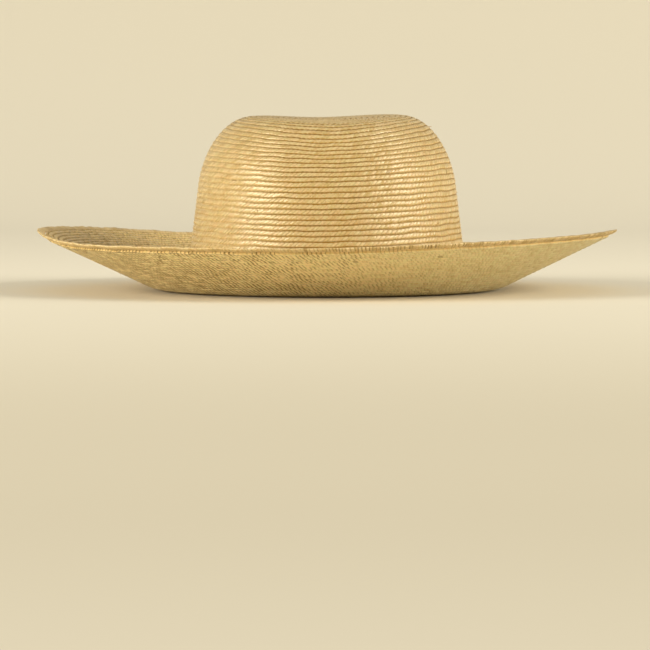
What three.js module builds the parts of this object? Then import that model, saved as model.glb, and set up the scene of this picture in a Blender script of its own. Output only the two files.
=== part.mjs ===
// A wide straw sombrero: a round-shouldered crown and a brim that turns up all round like a saucer.
// One long plaited straw braid is sewn round and round from the tip of the crown to the rim, so the
// crown, the brim and the last turn along the rim are thin walls of the same sewn braid.
// Millimetres, +Z up, +X to the wearer's left, -Y to the front. The origin is on the surface that the
// hat rests on, under the middle of the rim.
//
// Each wall is first turned as a round blank about +Z, then blocked to its worn form: the oval of the
// head, the crease in the tip, the dents in the crown, and the uneven lift of the brim.

import * as THREE from 'three';

// Driving dimensions
const overallWidth = 394;     // rim to rim, side to side
const overallDepth = 398;     // rim to rim, front to back
const crownWidth = 192;       // outside of the crown's foot, side to side
const crownDepth = 200;       // outside of the crown's foot, front to back
const crownHeight = 119.4;    // resting surface to the tip before it is creased, outside
const wall = 2;               // sewn braid, two plaits thick where the turns lap
const sewnClearance = 0.3;    // between pieces that are sewn together

// The side wall of the crown and its shoulder
const shoulderHeight = 72;    // where the straight side wall ends and the shoulder begins
const shoulderInset = 8.8;    // how far the side wall has leaned in by then
const tipWidth = 100;         // nearly flat top of the crown, side to side
const tipDome = 0.6;          // how much the middle of the tip stands above its edge
const shoulderSpread = 0.55;  // how far the tip runs on level into the shoulder, as a share of the way
const shoulderRoll = 0.45;    // how far the side wall runs on straight into the shoulder
const footHeight = 9;         // lower edge of the crown's last turn
const dentDepth = 2.8;        // deepest soft dent in the side wall

// The crease and the lean of the tip
const creaseDepth = 3.4;      // at the middle of the tip
const creaseHalfWidth = 40;   // distance at which the crease has faded to about a third
const creaseTurn = 5;         // degrees, from front to back, towards the wearer's left at the front
const tipLean = 0.3;          // how much higher the tip's edge is on the wearer's left than the middle
const tipPitch = 1.3;         // how much higher the tip's edge is at the back than the middle

// The brim
const collarHeight = 15;      // the brim's first turn, sewn inside the crown's foot
const collarBend = 6;         // bend from the collar to the brim, on the inside of the head opening
const seatWidth = 5;          // flat ring round the head opening that the hat rests on
const brimBend = 50;          // radius at which the brim turns up from the seat
const brimSlope = 25.4;       // degrees, of the straight outer brim where its lift is 1

// The last turn of braid along the rim
const edgeWidth = 6;
const edgeThickness = 2.8;

const segments = 76;

// Rise of the brim as a share of its rise at brimSlope, and the rim's distance from the axis as a share of
// the plain oval, every twelfth of a turn. Azimuth 0 is the wearer's left, 90 the back.
const RIM = [
  { azimuth: 0, lift: 1.01, reach: 1.0 },
  { azimuth: 30, lift: 0.82, reach: 0.995 },
  { azimuth: 60, lift: 0.64, reach: 0.995 },
  { azimuth: 90, lift: 0.65, reach: 1.0 },
  { azimuth: 120, lift: 0.82, reach: 0.997 },
  { azimuth: 150, lift: 0.985, reach: 0.997 },
  { azimuth: 180, lift: 1.025, reach: 1.0 },
  { azimuth: 210, lift: 0.875, reach: 0.996 },
  { azimuth: 240, lift: 0.865, reach: 0.996 },
  { azimuth: 270, lift: 0.875, reach: 1.0 },
  { azimuth: 300, lift: 0.95, reach: 0.999 },
  { azimuth: 330, lift: 1.01, reach: 0.999 },
];

// Soft dents in the side wall, where it was pinched at the front and at the back of the crease. Heights
// are shares of crownHeight, depths are shares of dentDepth, and angles are in degrees.
const DENTS = [
  { azimuth: 272, height: 0.84, depth: 0.86, halfAngle: 24, halfHeight: 0.24 },
  { azimuth: 96, height: 0.86, depth: 1, halfAngle: 26, halfHeight: 0.26 },
];

const onAxis = 1e-6;          // a point nearer to +Z than this has no azimuth

const footRadius = crownWidth / 2;
const rimRadius = overallWidth / 2;
const sideLean = Math.atan(shoulderInset / shoulderHeight);
const collarDepth = (2 * wall + sewnClearance) / Math.cos(sideLean);
const seatInside = footRadius - collarDepth + collarBend;
const seatOutside = seatInside + seatWidth;
const slope = THREE.MathUtils.degToRad(brimSlope);
const bendOutside = seatOutside + brimBend * Math.sin(slope);
const edgeReach = edgeWidth * Math.cos(slope);
const degrees = THREE.MathUtils.degToRad;

// A value from a closed table, smoothly between its rows, at an azimuth in radians.
function roundTheRim(azimuth, column) {
  const turn = (azimuth / (2 * Math.PI)) * RIM.length;
  const first = Math.floor(turn);
  const row = (step) => RIM[(((first + step) % RIM.length) + RIM.length) % RIM.length][column];
  const t = turn - first;
  const [before, start, end, after] = [row(-1), row(0), row(1), row(2)];
  const startSlope = (end - before) / 2;
  const endSlope = (after - start) / 2;
  return (
    (2 * t ** 3 - 3 * t ** 2 + 1) * start +
    (t ** 3 - 2 * t ** 2 + t) * startSlope +
    (3 * t ** 2 - 2 * t ** 3) * end +
    (t ** 3 - t ** 2) * endSlope
  );
}

// Height of the underside of the blank's brim at a radius: level over the seat, bent up, then straight.
function brimRise(radius) {
  const bent = THREE.MathUtils.clamp(radius - seatOutside, 0, bendOutside - seatOutside);
  const straight = Math.max(0, radius - bendOutside);
  return brimBend - Math.sqrt(brimBend ** 2 - bent ** 2) + straight * Math.tan(slope);
}

// A point of the blank's side wall, outside, at a height.
function sideWall(height) {
  return new THREE.Vector2(footRadius - height * Math.tan(sideLean), height);
}

// A point of the underside of the blank's brim at a radius.
function underside(radius) {
  return new THREE.Vector2(radius, brimRise(radius));
}

// A row of points moved by a distance to the right of the way that it runs.
function offset(points, distance) {
  return points.map((point, i) => {
    const ahead = points[Math.min(i + 1, points.length - 1)];
    const behind = points[Math.max(i - 1, 0)];
    const along = ahead.clone().sub(behind).normalize();
    return new THREE.Vector2(point.x + along.y * distance, point.y - along.x * distance);
  });
}

// Moves a point of the round blank to its place on the worn hat.
function block(point) {
  const radius = Math.hypot(point.x, point.y);
  if (radius < onAxis) {
    return pressTip(point);
  }
  const azimuth = Math.atan2(point.y, point.x);
  const outward = THREE.MathUtils.clamp((radius - footRadius) / (rimRadius - footRadius), 0, 1);
  const reach = 1 + (roundTheRim(azimuth, 'reach') - 1) * outward;
  const ovalDepth = THREE.MathUtils.lerp(crownDepth / crownWidth, overallDepth / overallWidth, outward);
  const lift = (roundTheRim(azimuth, 'lift') - 1) * brimRise(radius);
  const dent = dentAt(azimuth, point.z / crownHeight);
  const share = reach * (1 - dent / radius);
  return pressTip(
    new THREE.Vector3(point.x * share, point.y * share * ovalDepth, point.z + lift),
  );
}

// Depth of the side wall's dents at an azimuth and a share of the crown's height.
function dentAt(azimuth, height) {
  return DENTS.reduce((sum, dent) => {
    const turn = Math.atan2(
      Math.sin(azimuth - degrees(dent.azimuth)),
      Math.cos(azimuth - degrees(dent.azimuth)),
    );
    const round = turn / degrees(dent.halfAngle);
    const up = (height - dent.height) / dent.halfHeight;
    return sum + dentDepth * dent.depth * Math.exp(-(round ** 2) - up ** 2);
  }, 0);
}

// Presses the crease into the tip, and leans the tip to one side.
function pressTip(point) {
  const share = THREE.MathUtils.smoothstep(point.z, shoulderHeight, crownHeight);
  const turn = degrees(creaseTurn);
  const across = point.x * Math.cos(turn) + point.y * Math.sin(turn);
  const crease = creaseDepth * Math.exp(-((across / creaseHalfWidth) ** 2));
  const lean = (tipLean * point.x + tipPitch * point.y) / (tipWidth / 2);
  return new THREE.Vector3(point.x, point.y, point.z + share * (lean - crease));
}

// Turns an outline of the blank about +Z, and blocks it. An outline that doesn't start and end on the
// axis is closed first.
function sewnWall(name, outline, material) {
  const closing = outline[0].x > 0 ? [outline[0]] : [];
  const geometry = new THREE.LatheGeometry([...outline, ...closing], segments);
  geometry.rotateX(Math.PI / 2);
  const place = geometry.attributes.position;
  const point = new THREE.Vector3();
  for (let i = 0; i < place.count; i++) {
    const blocked = block(point.fromBufferAttribute(place, i));
    place.setXYZ(i, blocked.x, blocked.y, blocked.z);
  }
  geometry.computeVertexNormals();
  const mesh = new THREE.Mesh(geometry, material);
  mesh.name = name;
  return mesh;
}

// The crown from the middle of its tip, over the shoulder and down to its foot. It is open below.
function crown(material) {
  const tipEdge = new THREE.Vector2(tipWidth / 2, crownHeight - tipDome);
  const wallTop = sideWall(shoulderHeight);
  const shoulder = new THREE.CubicBezierCurve(
    tipEdge,
    new THREE.Vector2(THREE.MathUtils.lerp(tipEdge.x, wallTop.x, shoulderSpread), tipEdge.y),
    sideWall(THREE.MathUtils.lerp(shoulderHeight, crownHeight, shoulderRoll)),
    wallTop,
  );
  const tip = [0, 0.35, 0.7].map((share) => {
    return new THREE.Vector2(share * tipEdge.x, crownHeight - tipDome * share ** 2);
  });
  const side = [0.2, 0.4, 0.6, 0.8, 1].map((share) => {
    return sideWall(THREE.MathUtils.lerp(shoulderHeight, footHeight, share));
  });
  const outside = [...tip, ...shoulder.getPoints(10), ...side];
  const inside = offset(outside, wall);
  inside[0].x = 0;
  return sewnWall('crown', [...inside, ...outside.reverse()], material);
}

// The brim: a collar inside the crown's foot, the level seat round the head opening, and the saucer.
function brim(material) {
  const collar = (height) => sideWall(height).setX(sideWall(height).x - collarDepth);
  const bend = new THREE.QuadraticBezierCurve(
    collar(collarBend),
    collar(0),
    new THREE.Vector2(seatInside, 0),
  );
  const outerRadius = rimRadius - edgeReach - sewnClearance;
  const bent = [0, 0.2, 0.4, 0.6, 0.8, 1].map((share) => {
    return underside(THREE.MathUtils.lerp(seatOutside, bendOutside, share));
  });
  const straight = [0.25, 0.5, 0.75, 1].map((share) => {
    return underside(THREE.MathUtils.lerp(bendOutside, outerRadius, share));
  });
  const below = [collar(collarHeight), ...bend.getPoints(4), ...bent, ...straight];
  const above = offset(below, -wall);
  return sewnWall('brim', [...below, ...above.reverse()], material);
}

// The last turn of braid, a flat rounded band butted along the brim's outer edge.
function edgeBraid(material) {
  const stations = [
    { along: 0, thickness: 0.72 },
    { along: 0.25, thickness: 1 },
    { along: 0.75, thickness: 1 },
    { along: 1, thickness: 0.5 },
  ];
  const middle = offset(
    stations.map(({ along }) => underside(rimRadius - edgeReach * (1 - along))),
    -wall / 2,
  );
  const side = (sign) => {
    return stations.map(({ thickness }, i) => {
      return offset(middle, (sign * thickness * edgeThickness) / 2)[i];
    });
  };
  return sewnWall('edge_braid', [...side(1), ...side(-1).reverse()], material);
}

function straw(color, roughness) {
  return new THREE.MeshStandardMaterial({ color, roughness, metalness: 0 });
}

const sombrero = new THREE.Group();
sombrero.name = 'sombrero';
sombrero.add(crown(straw('#e0be80', 0.45)));
sombrero.add(brim(straw('#cda863', 0.6)));
sombrero.add(edgeBraid(straw('#d6b473', 0.55)));

export default sombrero;
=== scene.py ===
"""A straw sombrero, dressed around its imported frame.

The hat is one long plaited straw braid. It is sewn round and round from the middle of the tip to the rim,
each turn lapped by the one before it. The pieces here are walls of that sewn braid. A wall is a sheet that
follows the frame's solid, with a groove at every lap and the plait's strands raised on it, and the last turn
along the rim is a band of its own.
"""

import math

import bmesh
import bpy
import numpy as np
from bpy.props import FloatProperty, FloatVectorProperty, IntProperty, PointerProperty
from mathutils import Matrix, Vector


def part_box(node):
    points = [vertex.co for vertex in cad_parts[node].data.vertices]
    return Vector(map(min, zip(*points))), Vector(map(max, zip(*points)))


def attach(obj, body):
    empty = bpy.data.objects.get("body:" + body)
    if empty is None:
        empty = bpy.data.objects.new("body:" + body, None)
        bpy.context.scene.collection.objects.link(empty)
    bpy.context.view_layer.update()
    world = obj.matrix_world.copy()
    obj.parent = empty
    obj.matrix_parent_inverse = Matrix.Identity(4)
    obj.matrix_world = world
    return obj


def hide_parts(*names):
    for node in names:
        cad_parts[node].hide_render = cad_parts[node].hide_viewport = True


bl_info = {
    "name": "Straw Sombrero",
    "version": (1, 0, 0),
    "blender": (4, 5, 0),
    "location": "View3D > Sidebar > Sombrero",
    "description": "Sews a straw sombrero's braid around its frame and sets a plain stage",
    "category": "Object",
}

MM = 0.001

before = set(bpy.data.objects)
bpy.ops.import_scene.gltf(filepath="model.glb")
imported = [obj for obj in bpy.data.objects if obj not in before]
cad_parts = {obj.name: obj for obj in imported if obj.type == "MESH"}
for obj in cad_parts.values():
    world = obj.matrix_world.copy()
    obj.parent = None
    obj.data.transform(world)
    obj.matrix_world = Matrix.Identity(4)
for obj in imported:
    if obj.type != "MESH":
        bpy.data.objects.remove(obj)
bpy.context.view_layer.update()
EDGE_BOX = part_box("edge_braid")
BRIM_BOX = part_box("brim")

# Form of the hat, as the frame's solids have it, in metres
WALL = 2 * MM
RIM_RADIUS = (EDGE_BOX[1].x - EDGE_BOX[0].x) / 2
RIM_OVAL = (EDGE_BOX[1].y - EDGE_BOX[0].y) / (EDGE_BOX[1].x - EDGE_BOX[0].x)
BRIM_RADIUS = (BRIM_BOX[1].x - BRIM_BOX[0].x) / 2
FOOT_RADIUS = 96 * MM
FOOT_OVAL = 200 / 192
CROWN_HEIGHT = 119.4 * MM
SHOULDER_HEIGHT = 72 * MM
SHOULDER_INSET = 8.8 * MM
TIP_RADIUS = 50 * MM
TIP_DOME = 0.6 * MM
SHOULDER_SPREAD = 0.55
SHOULDER_ROLL = 0.45
FOOT_HEIGHT = 9 * MM
DENT_DEPTH = 2.8 * MM
CREASE_DEPTH = 3.4 * MM
CREASE_HALF_WIDTH = 40 * MM
CREASE_TURN = math.radians(5)
TIP_LEAN = 0.3 * MM
TIP_PITCH = 1.3 * MM
SEWN_CLEARANCE = 0.3 * MM
COLLAR_HEIGHT = 15 * MM
COLLAR_BEND = 6 * MM
SEAT_WIDTH = 5 * MM
BRIM_BEND = 50 * MM
BRIM_SLOPE = math.radians(25.4)
EDGE_WIDTH = 6 * MM

# The rim's small waver: its height, and the waves that make it
RIM_WAVER = 0.15 * MM
WAVER_WAVES = 12
WAVER_TURNS = (26, 150)
WAVER_SEED = 3

SIDE_LEAN = math.atan(SHOULDER_INSET / SHOULDER_HEIGHT)
COLLAR_DEPTH = (2 * WALL + SEWN_CLEARANCE) / math.cos(SIDE_LEAN)
SEAT_INSIDE = FOOT_RADIUS - COLLAR_DEPTH + COLLAR_BEND
SEAT_OUTSIDE = SEAT_INSIDE + SEAT_WIDTH
BEND_OUTSIDE = SEAT_OUTSIDE + BRIM_BEND * math.sin(BRIM_SLOPE)

# Lift and reach of the rim every twelfth of a turn, from the wearer's left towards the back, as shares
RIM_LIFT = (1.01, 0.82, 0.64, 0.65, 0.82, 0.985, 1.025, 0.875, 0.865, 0.875, 0.95, 1.01)
RIM_REACH = (1.0, 0.995, 0.995, 1.0, 0.997, 0.997, 1.0, 0.996, 0.996, 1.0, 0.999, 0.999)

# Dents where the crown was pinched: azimuth in degrees, share of the height, depth, and how far they spread
DENTS = (
    {"azimuth": 272, "height": 0.84, "depth": 0.86 * DENT_DEPTH, "half_angle": 24, "half_height": 0.24},
    {"azimuth": 96, "height": 0.86, "depth": DENT_DEPTH, "half_angle": 26, "half_height": 0.26},
)

# Where each row lies across its visible width: share of the pitch from its upper edge, and share of the lap
LAP_SECTION = ((0.0, 0.0), (0.1, 0.5), (0.32, 0.78), (0.64, 0.94), (0.95, 1.0), (1.0, 0.0))

# How far the strands stand out across a row: share of the pitch, and share of their height
STRAND_SECTION = ((0.0, 0.0), (0.12, 0.5), (0.35, 1.0), (0.9, 1.0), (1.0, 0.0))

# Shares across a row at which a face has a line of vertices
OUTER_LINES = (0.0, 0.1, 0.32, 0.64, 0.95)
INNER_LINES = (0.0, 0.5)
BRIM_LINES = (0.0, 0.14, 0.5, 0.93)

# A turn of the spiral starts and ends at the back of the hat
SEAM_AZIMUTH = math.pi / 2

# Marks on the vertices at the two ends of a face
AT_START = 1
AT_END = 2

# Points along each part of the outlines
TIP_POINTS = 30
SHOULDER_POINTS = 60
SIDE_POINTS = 30
COLLAR_POINTS = 10
COLLAR_BEND_POINTS = 16
SAUCER_POINTS = 160

# Rows that a face is begun before its start and after its end, and how near vertices are drawn to an end
SPARE_ROWS = 2
MERGE_DISTANCE = 0.002 * MM
END_SNAP = 0.03 * MM
POLE_SNAP = 0.45 * MM


def srgb(red, green, blue):
    """A colour as a picture has it, in 0 to 255, as the linear values that a shader takes."""
    shares = [channel / 255 for channel in (red, green, blue)]
    return tuple(s / 12.92 if s <= 0.04045 else ((s + 0.055) / 1.055) ** 2.4 for s in shares)


def smoothstep(low, high, value):
    share = np.clip((value - low) / (high - low), 0, 1)
    return share * share * (3 - 2 * share)


def round_the_rim(shares, azimuth):
    """A value from a closed row of shares at an azimuth, smoothly between them."""
    values = np.array(shares)
    turn = azimuth / math.tau * len(values)
    first = np.floor(turn).astype(int)
    t = turn - first
    before, start, end, after = (values[(first + step) % len(values)] for step in (-1, 0, 1, 2))
    return (
        (2 * t**3 - 3 * t**2 + 1) * start
        + (t**3 - 2 * t**2 + t) * (end - before) / 2
        + (3 * t**2 - 2 * t**3) * end
        + (t**3 - t**2) * (after - start) / 2
    )


def brim_rise(radius):
    """Height of the underside of the blank's brim: level over the seat, bent up, then straight."""
    bent = np.clip(radius - SEAT_OUTSIDE, 0, BEND_OUTSIDE - SEAT_OUTSIDE)
    straight = np.maximum(0, radius - BEND_OUTSIDE)
    return BRIM_BEND - np.sqrt(BRIM_BEND**2 - bent**2) + straight * math.tan(BRIM_SLOPE)


def side_wall(height):
    """Radius of the outside of the blank's side wall at a height."""
    return FOOT_RADIUS - height * math.tan(SIDE_LEAN)


def spread_from(place, azimuth):
    """How far an azimuth is from a place on the hat, in half angles of that place."""
    away = azimuth - math.radians(place["azimuth"])
    return np.arctan2(np.sin(away), np.cos(away)) / math.radians(place["half_angle"])


def dent_at(azimuth, height):
    """Depth of the side wall's dents."""
    depth = 0
    for dent in DENTS:
        round_share = spread_from(dent, azimuth)
        up_share = (height / CROWN_HEIGHT - dent["height"]) / dent["half_height"]
        depth = depth + dent["depth"] * np.exp(-(round_share**2) - up_share**2)
    return depth


def rim_waver(azimuth):
    """How far the sewn rim wavers up and down about its even line."""
    rng = np.random.default_rng(WAVER_SEED)
    waver = 0
    for turns in rng.integers(*WAVER_TURNS, WAVER_WAVES):
        waver = waver + rng.uniform(0.5, 1.5) * np.cos(turns * azimuth + rng.uniform(0, math.tau))
    return RIM_WAVER * math.sqrt(2 / WAVER_WAVES) * waver


def blocked(radius, height, azimuth):
    """Moves points of the round blank to their places on the worn hat, and returns them as x, y and z."""
    outward = np.clip((radius - FOOT_RADIUS) / (RIM_RADIUS - FOOT_RADIUS), 0, 1)
    reach = 1 + (round_the_rim(RIM_REACH, azimuth) - 1) * outward
    oval = FOOT_OVAL + (RIM_OVAL - FOOT_OVAL) * outward
    lift = (round_the_rim(RIM_LIFT, azimuth) - 1) * brim_rise(radius)
    dent = dent_at(azimuth, height) * smoothstep(0, TIP_RADIUS, radius)
    x = (radius * reach - dent) * np.cos(azimuth)
    y = (radius * reach - dent) * np.sin(azimuth) * oval
    across = x * math.cos(CREASE_TURN) + y * math.sin(CREASE_TURN)
    crease = CREASE_DEPTH * np.exp(-((across / CREASE_HALF_WIDTH) ** 2))
    lean = (TIP_LEAN * x + TIP_PITCH * y) / TIP_RADIUS
    z = height + lift + rim_waver(azimuth) * outward**3
    z = z + smoothstep(SHOULDER_HEIGHT, CROWN_HEIGHT, z) * (lean - crease)
    return np.stack([x, y, z], axis=-1)


class Outline:
    """A row of points of the blank, as radius and height, measured by the distance along it."""

    def __init__(self, points):
        self.points = np.array(points)
        steps = np.diff(self.points, axis=0)
        self.distances = np.concatenate([[0], np.cumsum(np.hypot(steps[:, 0], steps[:, 1]))])
        along = np.gradient(self.points, self.distances, axis=0)
        along /= np.linalg.norm(along, axis=1)[:, None]
        self.outward = np.stack([-along[:, 1], along[:, 0]], axis=1)
        self.length = self.distances[-1]

    def raised(self, height):
        """The same row of points, moved outwards by a height."""
        return Outline(self.points + self.outward * height)

    def at(self, distance, height):
        """Radius and height of points at a distance along the outline and a height above it."""
        columns = [
            np.interp(distance, self.distances, self.points[:, axis])
            + np.interp(distance, self.distances, self.outward[:, axis]) * height
            for axis in (0, 1)
        ]
        return columns


def bezier(points, steps):
    """Points of a Bezier curve of any degree, the first left out."""
    degree = len(points) - 1
    t = np.linspace(0, 1, steps + 1)[1:, None]
    weights = [math.comb(degree, i) * t**i * (1 - t) ** (degree - i) for i in range(degree + 1)]
    return sum(weight * np.array(point) for weight, point in zip(weights, points))


def crown_outline():
    """Outside of the blank's crown, from the middle of the tip to the foot."""
    share = np.linspace(0, 1, TIP_POINTS)[:, None]
    tip = np.hstack([TIP_RADIUS * share, CROWN_HEIGHT - TIP_DOME * share**2])
    tip_edge = tip[-1]
    top = side_wall(SHOULDER_HEIGHT)
    roll = SHOULDER_HEIGHT + (CROWN_HEIGHT - SHOULDER_HEIGHT) * SHOULDER_ROLL
    spread = TIP_RADIUS + (top - TIP_RADIUS) * SHOULDER_SPREAD
    handles = [tip_edge, (spread, tip_edge[1]), (side_wall(roll), roll), (top, SHOULDER_HEIGHT)]
    shoulder = bezier(handles, SHOULDER_POINTS)
    heights = np.linspace(SHOULDER_HEIGHT, FOOT_HEIGHT, SIDE_POINTS)[1:, None]
    return Outline(np.vstack([tip, shoulder, np.hstack([side_wall(heights), heights])]))


def brim_outline():
    """Upper side of the blank's brim, from the top of the collar inside the crown's foot to the rim."""
    heights = np.linspace(COLLAR_HEIGHT, COLLAR_BEND, COLLAR_POINTS)
    collar = [(side_wall(height) - COLLAR_DEPTH, height) for height in heights]
    handles = [collar[-1], (side_wall(0) - COLLAR_DEPTH, 0), (SEAT_INSIDE, 0)]
    bend = bezier(handles, COLLAR_BEND_POINTS)
    radii = np.linspace(SEAT_INSIDE, BRIM_RADIUS, SAUCER_POINTS)[1:]
    saucer = np.stack([radii, brim_rise(radii)], axis=1)
    return Outline(np.vstack([collar, bend, saucer])).raised(WALL)


class Sewing:
    """How the rows of braid lie on an outline: their pitch, and how far they drift up and down."""

    SETTLING_ROUNDS = 12
    TURN_STEP = 0.02
    WAVE_TURNS = (2, 34)
    WAVE_LENGTHS = (9, 60)
    STEADY_START = 0.08
    STEADY_END = 0.97

    # Where the rows dip
    LOBES = (
        {"azimuth": 265, "depth": 4.8 * MM, "half_angle": 50},
        {"azimuth": 90, "depth": 3 * MM, "half_angle": 50},
    )

    def __init__(self, outline, braid, plait_length, row_shift, dip_shares, seed):
        self.outline = outline
        self.pitch = braid.row_pitch
        self.plait_length = plait_length
        self.row_shift = row_shift
        self.dip_shares = dip_shares
        rng = np.random.default_rng(seed)
        count = braid.drift_waves
        self.wave_turns = rng.integers(*self.WAVE_TURNS, count)
        self.wave_lengths = rng.uniform(*self.WAVE_LENGTHS, count) * MM * rng.choice([-1, 1], count)
        self.wave_starts = rng.uniform(0, math.tau, count)
        self.wave_heights = braid.row_drift * math.sqrt(2 / count) * rng.uniform(0.6, 1.4, count)
        self.turns = np.arange(-3, outline.length / self.pitch + 4, self.TURN_STEP)
        self.unevenness = braid.uneven_plaits * rng.uniform(-1, 1, len(self.turns))

    def drift(self, distance, azimuth):
        """How far the rows lie below their even places: the dips, and the sewer's unevenness."""
        share = distance / self.outline.length
        dip = sum(lobe["depth"] * np.exp(-(spread_from(lobe, azimuth) ** 2)) for lobe in self.LOBES)
        waves = 0
        for turns, length, start, height in zip(
            self.wave_turns, self.wave_lengths, self.wave_starts, self.wave_heights
        ):
            waves = waves + height * np.cos(turns * azimuth + math.tau * distance / length + start)
        steadied = smoothstep(0, self.STEADY_START, share) * smoothstep(1, self.STEADY_END, share)
        return dip * np.interp(share, *self.dip_shares) + waves * steadied

    def row_at(self, distance, azimuth, turn):
        """Row coordinate of a place. Its whole part is the row, and the rest is the share across the row."""
        return (distance - self.drift(distance, azimuth)) / self.pitch - turn

    def distance_of(self, row, azimuth, turn):
        """Distance along the outline of a row coordinate."""
        even = (row + turn) * self.pitch
        distance = even
        for _ in range(self.SETTLING_ROUNDS):
            distance = even + self.drift(distance, azimuth)
        return distance

    def plaits_round(self, row):
        """How many plaits a turn of a row holds."""
        radius, _ = self.outline.at(np.clip((row + 0.5) * self.pitch, 0, self.outline.length), 0)
        return math.tau * radius / self.plait_length

    def plaits_at(self, row, turn):
        """Plaits along a row, counted from the front of the hat, at a turn of the row.

        Each turn holds as many as let its last strand run on into the next turn.
        """
        from_front = turn - 0.5
        count = self.plaits_round(row + (from_front > 0)) + self.row_shift
        closing = np.rint(count) - count
        plaits = (self.plaits_round(row + turn) + closing) * from_front - self.row_shift * row
        return plaits + np.interp(row + turn, self.turns, self.unevenness)


def lap_at(across):
    """How much of the lap's height a row has at a share across it."""
    return np.interp(across, *zip(*LAP_SECTION))


def strand_hump(plaits, across, lean, split):
    """Height of the plait's strands, as a share, at a count of plaits and a share across the row."""
    strand = plaits - lean * np.abs(across - split)
    within = strand - np.floor(strand)
    return (1 - (2 * within - 1) ** 2) * np.interp(across, *zip(*STRAND_SECTION))


def grid(columns, lines):
    """A flat grid as a mesh with a UV map, each vertex's turn and line, and each corner's vertex."""
    bm = bmesh.new()
    bm.loops.layers.uv.new("braid")
    bmesh.ops.create_grid(bm, x_segments=columns, y_segments=lines, size=0.5, calc_uvs=True)
    mesh = bpy.data.meshes.new("grid")
    bm.to_mesh(mesh)
    bm.free()
    places = np.empty(len(mesh.vertices) * 3, np.float32)
    mesh.vertices.foreach_get("co", places)
    places = places.reshape(-1, 3).astype(float) + 0.5
    turn = np.rint(places[:, 0] * columns) / columns
    line = np.rint(places[:, 1] * lines).astype(int)
    corners = np.empty(len(mesh.loops), np.int32)
    mesh.loops.foreach_get("vertex_index", corners)
    return mesh, turn, line, corners


def lay(mesh, points, uvs):
    """Moves a grid's vertices to their points, and gives its corners their UVs."""
    mesh.vertices.foreach_set("co", points.astype(np.float32).ravel())
    mesh.uv_layers["braid"].data.foreach_set("uv", uvs.astype(np.float32).ravel())


def sewn_face(sewing, span, columns, shares, height_of, twist=0.0):
    """One face of a wall, as a mesh whose lines follow the rows from one distance to another.

    The twist is how many plaits the strands lean further on the wearer's left, and less on the right.
    """
    start, end = span
    first = -1 if start == 0 else math.floor(start / sewing.pitch) - SPARE_ROWS
    last = math.ceil(end / sewing.pitch) + SPARE_ROWS
    mesh, turn, line, corners = grid(columns, (last - first) * len(shares))
    azimuth = SEAM_AZIMUTH - math.tau * turn
    line_row = first + line // len(shares) + np.array(shares)[line % len(shares)]
    free = sewing.distance_of(line_row, azimuth, turn)
    on_axis = start == 0 and sewing.outline.points[0, 0] == 0
    at_start = free < start + (POLE_SNAP if on_axis else END_SNAP)
    at_end = free > end - END_SNAP
    distance = np.where(at_start, start, np.where(at_end, end, free))
    row = sewing.row_at(distance, azimuth, turn)
    whole = np.floor(row)
    plaits = sewing.plaits_at(whole, turn) - twist * np.cos(azimuth) * (row - whole)
    height = height_of(row - whole, plaits, distance)
    if on_axis:
        height = np.where(at_start, height_of(0.5, 0.0, 0.0), height)
    radius, up = sewing.outline.at(distance, height)
    ends = mesh.attributes.new("end", "INT", "POINT")
    ends.data.foreach_set("value", (at_start * AT_START + at_end * AT_END).astype(np.int32))
    face_rows = first + line[corners].reshape(-1, 4).min(axis=1) // len(shares)
    face_rows = np.repeat(face_rows, 4)
    across = np.clip(row[corners] - face_rows, 0, 1)
    plaits = sewing.plaits_at(face_rows, turn[corners]) - twist * np.cos(azimuth[corners]) * across
    lay(mesh, blocked(radius, up, azimuth), np.stack([plaits, face_rows + across], axis=1))
    return mesh


def joined(meshes):
    """Puts meshes together in one bmesh, and merges the vertices that share a place."""
    bm = bmesh.new()
    for mesh in meshes:
        bm.from_mesh(mesh)
        bpy.data.meshes.remove(mesh)
    bmesh.ops.remove_doubles(bm, verts=bm.verts, dist=MERGE_DISTANCE)
    return bm


def sewn_wall(name, faces, pole):
    """Joins the faces of a wall at its ends, and returns it as an object with closed seams."""
    bm = joined(faces)
    marks = bm.verts.layers.int["end"]
    for mark in (AT_END,) if pole else (AT_START, AT_END):
        rings = [
            edge
            for edge in bm.edges
            if edge.is_boundary and all(vert[marks] == mark for vert in edge.verts)
        ]
        for edge in rings:
            edge.smooth = False
        bmesh.ops.bridge_loops(bm, edges=rings)
    bm.verts.layers.int.remove(marks)
    return finished(name, bm)


def finished(name, bm):
    """Makes an object of a bmesh, with its faces outwards and smoothly shaded."""
    bmesh.ops.recalc_face_normals(bm, faces=bm.faces)
    mesh = bpy.data.meshes.new(name)
    bm.to_mesh(mesh)
    bm.free()
    mesh.shade_smooth()
    piece = bpy.data.objects.new(name, mesh)
    bpy.context.scene.collection.objects.link(piece)
    return piece


def dress(piece, material, slot, *nodes):
    """Gives a piece its material and its place in the frame."""
    piece.data.materials.append(material)
    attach(piece, "root")
    if nodes:
        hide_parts(*nodes)
    return piece


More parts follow.
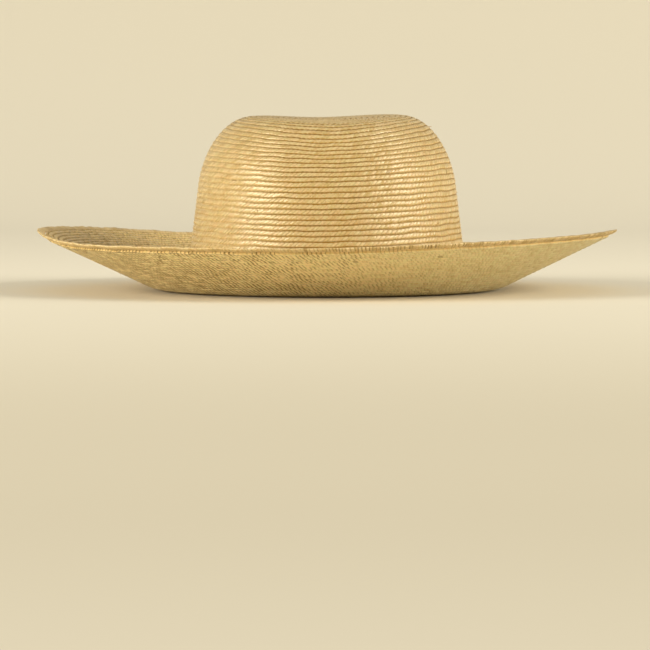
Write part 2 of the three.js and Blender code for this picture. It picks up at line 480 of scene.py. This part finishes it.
class Socket:
    """One output of a node. Operators on it add Math nodes, so that a mask reads as an expression."""

    def __init__(self, finish, link):
        self.finish = finish
        self.link = link

    def math(self, operation, *others):
        return self.finish.node("ShaderNodeMath", {"operation": operation}, [self, *others])

    def __add__(self, other):
        return self.math("ADD", other)

    def __radd__(self, other):
        return self.math("ADD", other)

    def __sub__(self, other):
        return self.math("SUBTRACT", other)

    def __rsub__(self, other):
        return self.finish.node("ShaderNodeMath", {"operation": "SUBTRACT"}, [other, self])

    def __mul__(self, other):
        return self.math("MULTIPLY", other)

    def __rmul__(self, other):
        return self.math("MULTIPLY", other)

    def __pow__(self, other):
        return self.math("POWER", other)

    def __abs__(self):
        return self.math("ABSOLUTE")

    def floor(self):
        return self.math("FLOOR")

    def fract(self):
        return self.math("FRACT")

    def or_more(self, other):
        """The larger of this value and another."""
        return self.math("MAXIMUM", other)

    def clamped(self):
        """This value, held between 0 and 1."""
        return self.math("MINIMUM", 1.0).or_more(0.0)

    def part(self, axis):
        """One coordinate of a vector: 0, 1 or 2 for x, y or z."""
        return self.finish.node("ShaderNodeSeparateXYZ", {}, [self], output=axis)

    def ramp(self, low, high):
        """A smooth step of this value from 0 at low to 1 at high."""
        return self.finish.node(
            "ShaderNodeMapRange",
            {"interpolation_type": "SMOOTHSTEP"},
            {"Value": self, "From Min": low, "From Max": high},
        )


class Finish:
    """A material and the nodes in it."""

    def __init__(self, name):
        self.material = bpy.data.materials.new(name)
        self.material.use_nodes = True
        self.tree = self.material.node_tree
        self.tree.nodes.clear()

    def node(self, kind, settings=None, inputs=None, output=0):
        """Adds a node with its settings, fills its sockets with values or links, and returns one output."""
        node = self.tree.nodes.new(kind)
        for setting, value in (settings or {}).items():
            setattr(node, setting, value)
        pairs = inputs.items() if isinstance(inputs, dict) else enumerate(inputs or [])
        for key, value in pairs:
            if isinstance(value, Socket):
                self.tree.links.new(value.link, node.inputs[key])
            else:
                node.inputs[key].default_value = value
        return Socket(self, node.outputs[output]) if node.outputs else None

    def blend(self, share, low, high, blend_type="MIX"):
        """Mixes two colours by a share."""
        settings = {"data_type": "RGBA", "blend_type": blend_type}
        return self.node("ShaderNodeMix", settings, {0: share, 6: low, 7: high}, output=2)

    def tinted(self, colour, tint):
        """Multiplies one colour by another."""
        return self.blend(1.0, colour, tint, "MULTIPLY")

    def place(self):
        """Object coordinates of the surface."""
        return self.node("ShaderNodeTexCoord", output=3)

    def point(self, x, y, z=0.0):
        return self.node("ShaderNodeCombineXYZ", {}, [x, y, z])

    def chance(self, cell):
        """A random number from 0 to 1 for each cell."""
        return self.node("ShaderNodeTexWhiteNoise", {"noise_dimensions": "3D"}, {"Vector": cell})

    def noise(self, where, scale=1.0, detail=2.0):
        return self.node("ShaderNodeTexNoise", {}, {"Vector": where, "Scale": scale, "Detail": detail})

    def shade(self, **inputs):
        """Ends the material with a principled shader."""
        surface = self.node("ShaderNodeBsdfPrincipled", {}, inputs)
        self.node("ShaderNodeOutputMaterial", {}, {"Surface": surface})
        return self.material


def rgba(colour):
    return (*colour, 1.0)


class Weave:
    """The plait's pattern, from a UV map that counts plaits along the braid and rows across it."""

    def __init__(self, finish, lean, split):
        uv = finish.node("ShaderNodeUVMap", {"uv_map": "braid"})
        plaits, rows = uv.part(0), uv.part(1)
        row = rows.floor()
        self.across = rows.fract()
        strand = plaits - lean * abs(self.across - split)
        side = self.across.math("GREATER_THAN", split)
        self.within = strand.fract()
        self.hump = 1 - (2 * self.within - 1) ** 2
        self.chance = finish.chance(finish.point(strand.floor(), row, side))
        self.other_chance = finish.chance(finish.point(row, strand.floor(), side + 5.0))
        self.fibres = finish.noise(finish.point(strand * 8.0, plaits * 0.6, row * 7.3), detail=3.0)
        self.streaks = finish.noise(finish.point(plaits * 0.09, row * 1.7, row * 0.31))
        self.hues = finish.noise(finish.point(plaits * 0.9, row * 2.9, side * 3.0))


def straw(
    name,
    bodies,
    braid,
    colours,
    lean,
    plait_bump,
    gap_shade_depths,
    split=0.0,
    lit_side_lap_shade=1.0,
    paleness=0.65,
    gloss=0.4,
):
    """Plaited straw.

    The bodies are its colour where it faces down on the wearer's right, where it faces down on the left, and
    where it faces up: lit and shaded copies of one straw, as painted light and shade. The shade depths are
    how dark the painted shade between strands is on the right and on the left. The lit side's lap shade is
    the share of the painted shade under the laps that is left on the right, where the lamp lights them.
    Paleness is the straw's usual tone, from 0 for its darkest to 1 for its palest, and gloss is its roughness
    on top of a strand.
    """
    finish = Finish(name)
    weave = Weave(finish, lean, split)
    hump, across, fibres = weave.hump, weave.across, weave.fibres
    place = finish.place()
    aside = place.part(0)
    facing = finish.node("ShaderNodeNewGeometry", output=1).part(2)
    clouds = finish.noise(place, 22.0)
    grain = finish.noise(place, 800.0, 1.0)
    pit_shade = finish.noise(place, 460.0, 1.0).ramp(0.45, 0.3)

    tone = (
        paleness
        + 0.8 * (weave.chance - 0.5)
        + 0.8 * (fibres - 0.5)
        + 0.4 * (weave.streaks - 0.5)
        + 0.3 * (clouds - 0.5)
        + 1.5 * (grain - 0.5)
    )
    # Painted light and shade: a face takes a lit or a shaded copy of the straw's colour by the way it faces
    # and by its side.
    low_body_painted_light_and_shade = finish.blend(aside.ramp(-0.03, 0.13), rgba(bodies[0]), rgba(bodies[1]))
    body = finish.blend(facing.ramp(-0.2, 0.4), low_body_painted_light_and_shade, rgba(bodies[2]))
    hue = finish.blend(weave.hues.ramp(0.35, 0.65), rgba(colours.warm), rgba(colours.green))
    colour = finish.blend(tone.clamped(), rgba(colours.shade), rgba(colours.light))
    colour = finish.tinted(finish.tinted(colour, body), hue)

    # Painted shade between the strands and in small hollows, deeper on one side than the other after the
    # lamps and fainter where the straw faces up; the rare specks are the straw's own dark marks.
    right, left = gap_shade_depths
    depth = right + (left - right) * aside.ramp(-0.14, 0.1)
    gap = hump.ramp(0.8, 0.2) * across.ramp(0.04, 0.16) * (1 - 0.85 * facing.ramp(0.5, 0.85))
    speck = weave.other_chance.math("GREATER_THAN", 0.9985)
    gap = gap * depth * weave.other_chance.ramp(0.0, 1.0)
    gap = gap.or_more(0.34 * pit_shade * depth).or_more(0.6 * speck)
    colour = finish.blend(gap.clamped(), colour, rgba(colours.gap))

    # Painted shade under each row's lap, partly the straw's own darker edge: fainter towards the sides that
    # the lamps light, and wider and darker where the straw faces up.
    lap_shade_fading = lit_side_lap_shade + (1 - lit_side_lap_shade) * aside.ramp(-0.085, -0.015) * (1 - 0.3 * aside.ramp(0.01, 0.05))
    ragged = across + 0.05 * (hump - 0.5) + 0.07 * (fibres - 0.5)
    lap_shade_width = 0.22 + 0.26 * facing.ramp(0.15, 0.8)
    lap = ragged.ramp(lap_shade_width, 0.08).or_more(ragged.ramp(0.945, 0.985)) * lap_shade_fading
    lap_shade_darkness = weave.streaks.ramp(0.4, 0.6).or_more(facing.ramp(0.1, 0.6))
    lap_shade_colour = finish.blend(lap_shade_darkness, rgba(colours.lap), rgba(colours.lap_shade_dark))
    colour = finish.blend(lap * (0.6 + 0.8 * weave.hues).clamped(), colour, lap_shade_colour)

    tilt = (weave.chance - 0.5) * (weave.within - 0.5) + (weave.other_chance - 0.5) * (across - 0.5)
    relief = (0.5 * hump + 4 * tilt) * plait_bump + fibres * braid.fibre_height
    normal = finish.node("ShaderNodeBump", {}, {"Height": relief, "Distance": 1.0, "Strength": 1.0})
    roughness = gloss + 0.1 * (1 - hump) + 0.2 * (weave.other_chance - 0.5) + 0.5 * lap
    varied = {"Base Color": colour, "Roughness": roughness, "Normal": normal}
    return finish.shade(**varied, **{"IOR": 1.75, "Specular Tint": rgba(colours.shine)})


class BraidSizes(bpy.types.PropertyGroup):
    """Sizes of the braid and of how it is sewn."""

    row_pitch: FloatProperty(
        name="Row pitch", description="Visible width of each row", default=3.75 * MM, unit="LENGTH"
    )
    plait_length: FloatProperty(
        name="Plait length",
        description="Length of braid from strand to strand",
        default=3.2 * MM,
        unit="LENGTH",
    )
    brim_plait: FloatProperty(
        name="Brim plait length", description="The same on the brim", default=3.0 * MM, unit="LENGTH"
    )
    uneven_plaits: FloatProperty(
        name="Uneven plaits", description="How far plaits lie from their even places", default=0.26
    )
    lap_height: FloatProperty(
        name="Lap height",
        description="How far a row stands over the next",
        default=0.55 * MM,
        unit="LENGTH",
    )
    under_lap: FloatProperty(
        name="Lap height below",
        description="The same on the brim's underside",
        default=0.9 * MM,
        unit="LENGTH",
    )
    under_swell: FloatProperty(
        name="Swell below",
        description="How far the underside bulges past its solid",
        default=0.7 * MM,
        unit="LENGTH",
    )
    plait_height: FloatProperty(
        name="Plait height", description="How far the strands stand out", default=0.18 * MM, unit="LENGTH"
    )
    scallop: FloatProperty(
        name="Scallop", description="Share of the lap that is lost between two strands", default=0.4
    )
    fibre_height: FloatProperty(
        name="Fibre height", description="Height of the straw's fibres", default=0.035 * MM, unit="LENGTH"
    )
    row_drift: FloatProperty(
        name="Row drift", description="How unevenly the rows are sewn", default=0.16 * MM, unit="LENGTH"
    )
    drift_waves: IntProperty(
        name="Drift waves", description="Waves that the unevenness is made of", default=14
    )
    strand_lean: FloatProperty(
        name="Strand lean", description="Plaits that a strand runs along in crossing a row", default=1.15
    )
    brim_lean: FloatProperty(
        name="Brim strand lean",
        description="The same for the brim, where the strands stand steeper",
        default=0.7,
    )
    crown_twist: FloatProperty(
        name="Twist", description="How much the lean changes from side to side of the crown", default=-0.6
    )
    strand_split: FloatProperty(
        name="Strand split",
        description="Share across the row where strands change their lean",
        default=0.26,
    )
    columns: IntProperty(name="Columns", description="Steps round the crown", default=820)
    brim_columns: IntProperty(name="Brim columns", description="Steps round the brim", default=640)
    edge_teeth: IntProperty(name="Edge teeth", description="Strands that turn at the rim", default=520)
    straw_ends: IntProperty(name="Straw ends", description="Loose ends of straw", default=90)


class StrawColours(bpy.types.PropertyGroup):
    """Colours of the straw."""

    light: FloatVectorProperty(
        name="Light", description="Palest straw", subtype="COLOR", size=3, default=srgb(249, 246, 238)
    )
    shade: FloatVectorProperty(
        name="Shade", description="Darkest straw", subtype="COLOR", size=3, default=srgb(222, 207, 170)
    )
    crown: FloatVectorProperty(
        name="Crown",
        description="Colour of the crown's side",
        subtype="COLOR",
        size=3,
        default=srgb(231, 209, 162),
    )
    # Painted shade: the tip is a darker copy of the crown's colour, for the straw that faces up.
    tip: FloatVectorProperty(
        name="Tip",
        description="Colour of the crown's tip",
        subtype="COLOR",
        size=3,
        default=srgb(211, 189, 143),
    )
    # Lit and shaded copies of the brim's straw: the underside is painted paler, as painted light under the
    # brim, and its left is painted darker, as painted shade.
    brim: FloatVectorProperty(
        name="Brim",
        description="Colour of the brim's upper side",
        subtype="COLOR",
        size=3,
        default=srgb(235, 208, 146),
    )
    under: FloatVectorProperty(
        name="Underside",
        description="Colour of the underside",
        subtype="COLOR",
        size=3,
        default=srgb(250, 233, 181),
    )
    under_left_shaded: FloatVectorProperty(
        name="Underside, left",
        description="The same at its left",
        subtype="COLOR",
        size=3,
        default=srgb(234, 222, 177),
    )
    edge: FloatVectorProperty(
        name="Edge",
        description="Body colour of the last turn",
        subtype="COLOR",
        size=3,
        default=srgb(222, 199, 152),
    )
    shine: FloatVectorProperty(
        name="Shine",
        description="Tint of the straw's shine",
        subtype="COLOR",
        size=3,
        default=srgb(255, 243, 214),
    )
    warm: FloatVectorProperty(
        name="Warm",
        description="Tint of the ripest straw",
        subtype="COLOR",
        size=3,
        default=srgb(255, 246, 236),
    )
    green: FloatVectorProperty(
        name="Green",
        description="Tint of the greenest straw",
        subtype="COLOR",
        size=3,
        default=srgb(251, 252, 238),
    )
    # Painted shade between two strands, also the colour of the straw's own rare dark specks.
    gap: FloatVectorProperty(
        name="Gap", description="Between two strands", subtype="COLOR", size=3, default=srgb(130, 98, 26)
    )
    # Painted shade under the edge of a row, partly the straw's own darker edge, and its darker copy where the
    # straw faces up.
    lap: FloatVectorProperty(
        name="Lap",
        description="Under the edge of a row",
        subtype="COLOR",
        size=3,
        default=srgb(166, 120, 16),
    )
    lap_shade_dark: FloatVectorProperty(
        name="Dark lap",
        description="The same where it is darkest",
        subtype="COLOR",
        size=3,
        default=srgb(126, 88, 12),
    )


class StageLook(bpy.types.PropertyGroup):
    """Colours and lights of the stage."""

    floor: FloatVectorProperty(
        name="Floor",
        description="Colour of floor and backdrop",
        subtype="COLOR",
        size=3,
        default=srgb(238, 227, 199),
    )
    # Painted shade: this tint darkens the floor towards the front and up the backdrop.
    floor_painted_shade: FloatVectorProperty(
        name="Floor in front",
        description="Tint of the floor's front",
        subtype="COLOR",
        size=3,
        default=(0.69, 0.67, 0.62),
    )
    left_power: FloatProperty(
        name="Left light", description="Power, wearer's right", default=176.0, unit="POWER"
    )
    right_power: FloatProperty(
        name="Right light", description="Power, wearer's left", default=170.0, unit="POWER"
    )
    top_power: FloatProperty(name="Top light", description="Power, overhead", default=4.0, unit="POWER")
    sky: FloatProperty(name="Sky", description="Strength of the even light all round", default=0.4)


class SOMBRERO_OT_crown(bpy.types.Operator):
    """Sews the tip, the shoulder and the side of the crown"""

    bl_idname = "sombrero.crown"
    bl_label = "Crown"

    SEED = 5
    ROW_SHIFT = 0.43
    DIP_SHARES = ((0.27, 0.42, 0.9, 1.0), (0.0, 1.0, 0.5, 0.0))
    CUTS = (0, 0.35, 0.68, 1)

    def execute(self, context):
        braid = context.scene.sombrero_braid
        colours = context.scene.sombrero_colours
        outline = crown_outline()
        sewing = Sewing(outline, braid, braid.plait_length, self.ROW_SHIFT, self.DIP_SHARES, self.SEED)

        def outside(across, plaits, distance):
            hump = strand_hump(plaits, across, braid.strand_lean, braid.strand_split)
            lap = lap_at(across) * (1 - braid.scallop * (1 - hump) * across**3) - 0.5
            return braid.lap_height * lap + braid.plait_height * (hump - 0.5)

        def inside(across, plaits, distance):
            return -WALL - braid.lap_height * (lap_at(1 - across) - 0.5)

        # Painted light and shade: the tip's colour is darker where the crown faces up, and shade is painted
        # between strands and under the laps.
        material = straw(
            "crown_straw",
            (colours.crown, colours.crown, colours.tip),
            braid,
            colours,
            lean=braid.strand_lean,
            split=braid.strand_split,
            plait_bump=0.75 * braid.plait_height,
            gap_shade_depths=(0.8, 0.3),
            lit_side_lap_shade=0.15,
            gloss=0.33,
        )
        cuts = [outline.length * share for share in self.CUTS]
        for name, start, end in zip(("crown_tip", "crown_shoulder", "crown_side"), cuts, cuts[1:]):
            faces = [
                sewn_face(sewing, (start, end), braid.columns, OUTER_LINES, outside, braid.crown_twist),
                sewn_face(sewing, (start, end), braid.columns, INNER_LINES, inside),
            ]
            dress(sewn_wall(name, faces, pole=start == 0), material, "crown_straw", "crown")
        return {"FINISHED"}


class SOMBRERO_OT_brim(bpy.types.Operator):
    """Sews the collar, the seat and the saucer of the brim"""

    bl_idname = "sombrero.brim"
    bl_label = "Brim"

    SEED = 11
    NO_DIPS = ((0.0, 1.0), (0.0, 0.0))
    CUTS = (0, 0.52, 1)
    UPPER_LEVEL = 0.75
    SWELL_START = 26 * MM
    SWELL_END = 40 * MM

    def execute(self, context):
        braid = context.scene.sombrero_braid
        colours = context.scene.sombrero_colours
        outline = brim_outline()
        sewing = Sewing(outline, braid, braid.brim_plait, braid.brim_lean, self.NO_DIPS, self.SEED)

        def upper(across, plaits, distance):
            return braid.lap_height * (lap_at(across) - self.UPPER_LEVEL)

        def under(across, plaits, distance):
            swell = braid.under_swell * smoothstep(self.SWELL_START, self.SWELL_END, distance)
            return -WALL - swell - braid.under_lap * (lap_at(1 - across) - 1)

        # Painted light and shade: the underside's paler colours and the raised paleness stand in for light
        # under the brim, its left is painted darker, and shade is painted between strands and under the laps.
        material = straw(
            "brim_straw",
            (colours.under, colours.under_left_shaded, colours.brim),
            braid,
            colours,
            lean=braid.brim_lean,
            plait_bump=1.3 * braid.plait_height,
            gap_shade_depths=(2.3, 0.3),
            lit_side_lap_shade=0.6,
            paleness=1.0,
            gloss=0.42,
        )
        cuts = [outline.length * share for share in self.CUTS]
        for name, start, end in zip(("brim_inner", "brim_outer"), cuts, cuts[1:]):
            faces = [
                sewn_face(sewing, (start, end), braid.brim_columns, BRIM_LINES, upper),
                sewn_face(sewing, (start, end), braid.brim_columns, BRIM_LINES, under),
            ]
            dress(sewn_wall(name, faces, pole=False), material, "brim_straw", "brim")
        return {"FINISHED"}


class SOMBRERO_OT_edge(bpy.types.Operator):
    """Plaits the last turn of braid along the rim"""

    bl_idname = "sombrero.edge"
    bl_label = "Edge braid"

    STEPS_PER_TOOTH = 4
    SECTION_STEPS = 12
    SECTION_POWER = 0.7
    ROW_START = 0.3
    ROW_SPAN = 0.6
    THICKNESS = 1.8 * MM
    TOOTH = 0.8 * MM
    UNEVEN = 0.25

    def execute(self, context):
        braid = context.scene.sombrero_braid
        colours = context.scene.sombrero_colours
        mesh, turn, line, corners = grid(braid.edge_teeth * self.STEPS_PER_TOOTH, self.SECTION_STEPS)
        azimuth = SEAM_AZIMUTH - math.tau * turn
        tooth = turn * braid.edge_teeth + self.UNEVEN * rim_waver(azimuth) / RIM_WAVER
        angle = math.tau * line / self.SECTION_STEPS
        out = np.sign(np.cos(angle)) * np.abs(np.cos(angle)) ** self.SECTION_POWER
        across = (out + 1) / 2
        row_share = self.ROW_START + self.ROW_SPAN * across
        hump = strand_hump(tooth, row_share, braid.brim_lean, 0.0)
        scallop = self.TOOTH * (np.abs(np.sin(math.pi * tooth)) - 1) * smoothstep(0.5, 1, out)
        radius = RIM_RADIUS - EDGE_WIDTH * math.cos(BRIM_SLOPE) * (1 - across) + scallop
        middle = brim_rise(radius) + WALL / 2 / math.cos(BRIM_SLOPE)
        raised = self.THICKNESS / 2 * np.sin(angle) * (0.5 + 0.5 * hump)
        height = middle + math.cos(BRIM_SLOPE) * raised
        radius = radius - math.sin(BRIM_SLOPE) * raised
        lay(mesh, blocked(radius, height, azimuth), np.stack([tooth, row_share], axis=1)[corners])
        material = straw(
            "edge_straw",
            (colours.edge,) * 3,
            braid,
            colours,
            lean=braid.brim_lean,
            plait_bump=1.3 * braid.plait_height,
            gap_shade_depths=(0.2, 1.3),
        )
        dress(finished("edge_plait", joined([mesh])), material, "edge_straw", "edge_braid")
        return {"FINISHED"}


class SOMBRERO_OT_ends(bpy.types.Operator):
    """Leaves the short ends of straw that stand out where a strand was plaited in"""

    bl_idname = "sombrero.ends"
    bl_label = "Straw ends"

    SEED = 29
    THICKNESS = 0.3 * MM

    def execute(self, context):
        braid = context.scene.sombrero_braid
        colours = context.scene.sombrero_colours
        rng = np.random.default_rng(self.SEED)
        bm = bmesh.new()
        uv = bm.loops.layers.uv.new("braid")
        crown = crown_outline()
        brim = brim_outline()
        for count in range(braid.straw_ends):
            outline, side = ((crown, 0), (brim, 0), (brim, -WALL))[rng.integers(3)]
            outward = -1 if side else 1
            distance = outline.length * rng.uniform(0.3, 0.97)
            azimuth = rng.uniform(0, math.tau)
            root = blocked(*outline.at(distance, side), azimuth)
            tip_distance = distance + rng.uniform(-1.5, 1.5) * MM
            tip_height = side + outward * rng.uniform(0.6, 2.0) * MM
            turned = azimuth + rng.choice([-1, 1]) * rng.uniform(1, 3) * MM / np.hypot(root[0], root[1])
            tip = blocked(*outline.at(tip_distance, tip_height), turned)
            run = Vector(tip - root)
            place = Matrix.Translation((Vector(root) + Vector(tip)) / 2)
            cone = bmesh.ops.create_cone(
                bm,
                cap_ends=True,
                segments=6,
                radius1=self.THICKNESS,
                radius2=self.THICKNESS / 3,
                depth=run.length,
                matrix=place @ run.to_track_quat("Z", "Y").to_matrix().to_4x4(),
            )
            for face in {face for vert in cone["verts"] for face in vert.link_faces}:
                for loop in face.loops:
                    loop[uv].uv = (3.5 + 2 * count, 0.5)
        bodies = (colours.edge,) * 3
        material = straw(
            "loose_straw", bodies, braid, colours, lean=braid.brim_lean, plait_bump=0.0, gap_shade_depths=(0.0, 0.0)
        )
        dress(finished("straw_ends", bm), material, "edge_straw")
        return {"FINISHED"}


class SOMBRERO_OT_stage(bpy.types.Operator):
    """Sets the floor, the backdrop, the lights and the camera"""

    bl_idname = "sombrero.stage"
    bl_label = "Stage"

    HALF_WIDTH = 5.0
    FRONT = -5.0
    BEND_START = 1.2
    BEND_RADIUS = 2.0
    BEND_ANGLE = math.radians(30)
    BEND_STEPS = 24

    # How much the floor's painted shade shows at its front, and how that share changes between two distances
    # from it
    PAINTED_SHADE_SHARE = 0.545
    PAINTED_SHADE_CHANGES = ((-2.6, -1.8, 0.41), (-1.5, 0.4, -0.955), (1.2, 3.2, 0.66))

    LIGHTS = (
        {"name": "left_light", "place": (-3.35, -1.85, 1.2), "size": (2.4, 2.2)},
        {"name": "right_light", "place": (3.6, -1.2, 1.6), "size": (2.8, 2.4)},
        {"name": "top_light", "place": (0.4, -1.2, 3.0), "size": (3.0, 2.4)},
    )
    LIGHT_COLOUR = (1.0, 0.99, 0.96)
    LIGHT_AIM = (0.0, 0.0, 0.06)
    SKY_COLOUR = (1.0, 0.96, 0.88)

    CAMERA_PLACE = (-1.36 * MM, -4.0, 174.8 * MM)
    CAMERA_PITCH = math.radians(2.842)
    LENS = 326.0

    def execute(self, context):
        look = context.scene.sombrero_stage
        self.sweep(look)
        for light, power in zip(self.LIGHTS, (look.left_power, look.right_power, look.top_power)):
            self.light(power=power, **light)
        world = bpy.data.worlds.new("studio")
        world.use_nodes = True
        background = world.node_tree.nodes["Background"]
        background.inputs["Color"].default_value = rgba(self.SKY_COLOUR)
        background.inputs["Strength"].default_value = look.sky
        context.scene.world = world
        context.scene.view_settings.view_transform = "Standard"
        self.camera(context)
        return {"FINISHED"}

    def sweep(self, look):
        """A floor that bends up behind the hat, as high as the camera sees and low enough to look over."""
        bm = bmesh.new()
        ends = [bm.verts.new((side * self.HALF_WIDTH, self.FRONT, 0)) for side in (-1, 1)]
        floor = bmesh.ops.extrude_edge_only(bm, edges=[bm.edges.new(ends)])["geom"]
        verts = [item for item in floor if isinstance(item, bmesh.types.BMVert)]
        edges = [
            item
            for item in floor
            if isinstance(item, bmesh.types.BMEdge) and set(item.verts) == set(verts)
        ]
        bmesh.ops.translate(bm, verts=verts, vec=(0, self.BEND_START - self.FRONT, 0))
        bmesh.ops.spin(
            bm,
            geom=verts + edges,
            cent=(0, self.BEND_START, self.BEND_RADIUS),
            axis=(1, 0, 0),
            angle=self.BEND_ANGLE,
            steps=self.BEND_STEPS,
        )
        sweep = finished("sweep", bm)
        finish = Finish("backdrop_paper")
        place = finish.place()
        along = place.part(1)
        mottle = finish.noise(place, 1.5, 1.0)
        colour = finish.blend(mottle, rgba(look.floor), rgba([c * 0.97 for c in look.floor]))
        # Painted shade: the floor darker towards its front and up the backdrop, and pale near the hat.
        share = self.PAINTED_SHADE_SHARE
        for start, end, change in self.PAINTED_SHADE_CHANGES:
            share = share + change * along.ramp(start, end)
        colour = finish.blend(share, colour, rgba(look.floor_painted_shade), "MULTIPLY")
        sweep.data.materials.append(finish.shade(**{"Base Color": colour, "Roughness": 0.9}))

    def light(self, name, place, size, power):
        """An area light that faces the hat."""
        lamp = bpy.data.lights.new(name, "AREA")
        lamp.shape = "RECTANGLE"
        lamp.size, lamp.size_y = size
        lamp.energy = power
        lamp.color = self.LIGHT_COLOUR
        holder = bpy.data.objects.new(name, lamp)
        holder.location = place
        towards = Vector(self.LIGHT_AIM) - Vector(place)
        holder.rotation_euler = towards.to_track_quat("-Z", "Y").to_euler()
        bpy.context.scene.collection.objects.link(holder)

    def camera(self, context):
        """The camera, in front of the hat and a little above its rim."""
        lens = bpy.data.cameras.new("camera")
        lens.lens = self.LENS
        lens.clip_end = 100
        holder = bpy.data.objects.new("camera", lens)
        holder.location = self.CAMERA_PLACE
        holder.rotation_euler = (math.pi / 2 - self.CAMERA_PITCH, 0, 0)
        context.scene.collection.objects.link(holder)
        context.scene.camera = holder


class SOMBRERO_PT_panel(bpy.types.Panel):
    """Lists the pieces of the hat"""

    bl_idname = "SOMBRERO_PT_panel"
    bl_label = "Sombrero"
    bl_space_type = "VIEW_3D"
    bl_region_type = "UI"
    bl_category = "Sombrero"

    def draw(self, context):
        scene = context.scene
        for settings in (scene.sombrero_braid, scene.sombrero_colours, scene.sombrero_stage):
            box = self.layout.box()
            for name in settings.__annotations__:
                box.prop(settings, name)
        for operator in OPERATORS:
            self.layout.operator(operator.bl_idname)


OPERATORS = (SOMBRERO_OT_crown, SOMBRERO_OT_brim, SOMBRERO_OT_edge, SOMBRERO_OT_ends, SOMBRERO_OT_stage)
SETTINGS = (BraidSizes, StrawColours, StageLook)


def register():
    for cls in (*SETTINGS, *OPERATORS, SOMBRERO_PT_panel):
        bpy.utils.register_class(cls)
    bpy.types.Scene.sombrero_braid = PointerProperty(type=BraidSizes)
    bpy.types.Scene.sombrero_colours = PointerProperty(type=StrawColours)
    bpy.types.Scene.sombrero_stage = PointerProperty(type=StageLook)


def unregister():
    del bpy.types.Scene.sombrero_stage
    del bpy.types.Scene.sombrero_colours
    del bpy.types.Scene.sombrero_braid
    for cls in reversed((*SETTINGS, *OPERATORS, SOMBRERO_PT_panel)):
        bpy.utils.unregister_class(cls)


def main():
    register()
    bpy.ops.sombrero.stage()
    bpy.ops.sombrero.crown()
    bpy.ops.sombrero.brim()
    bpy.ops.sombrero.edge()
    bpy.ops.sombrero.ends()


if __name__ == "__main__":
    main()
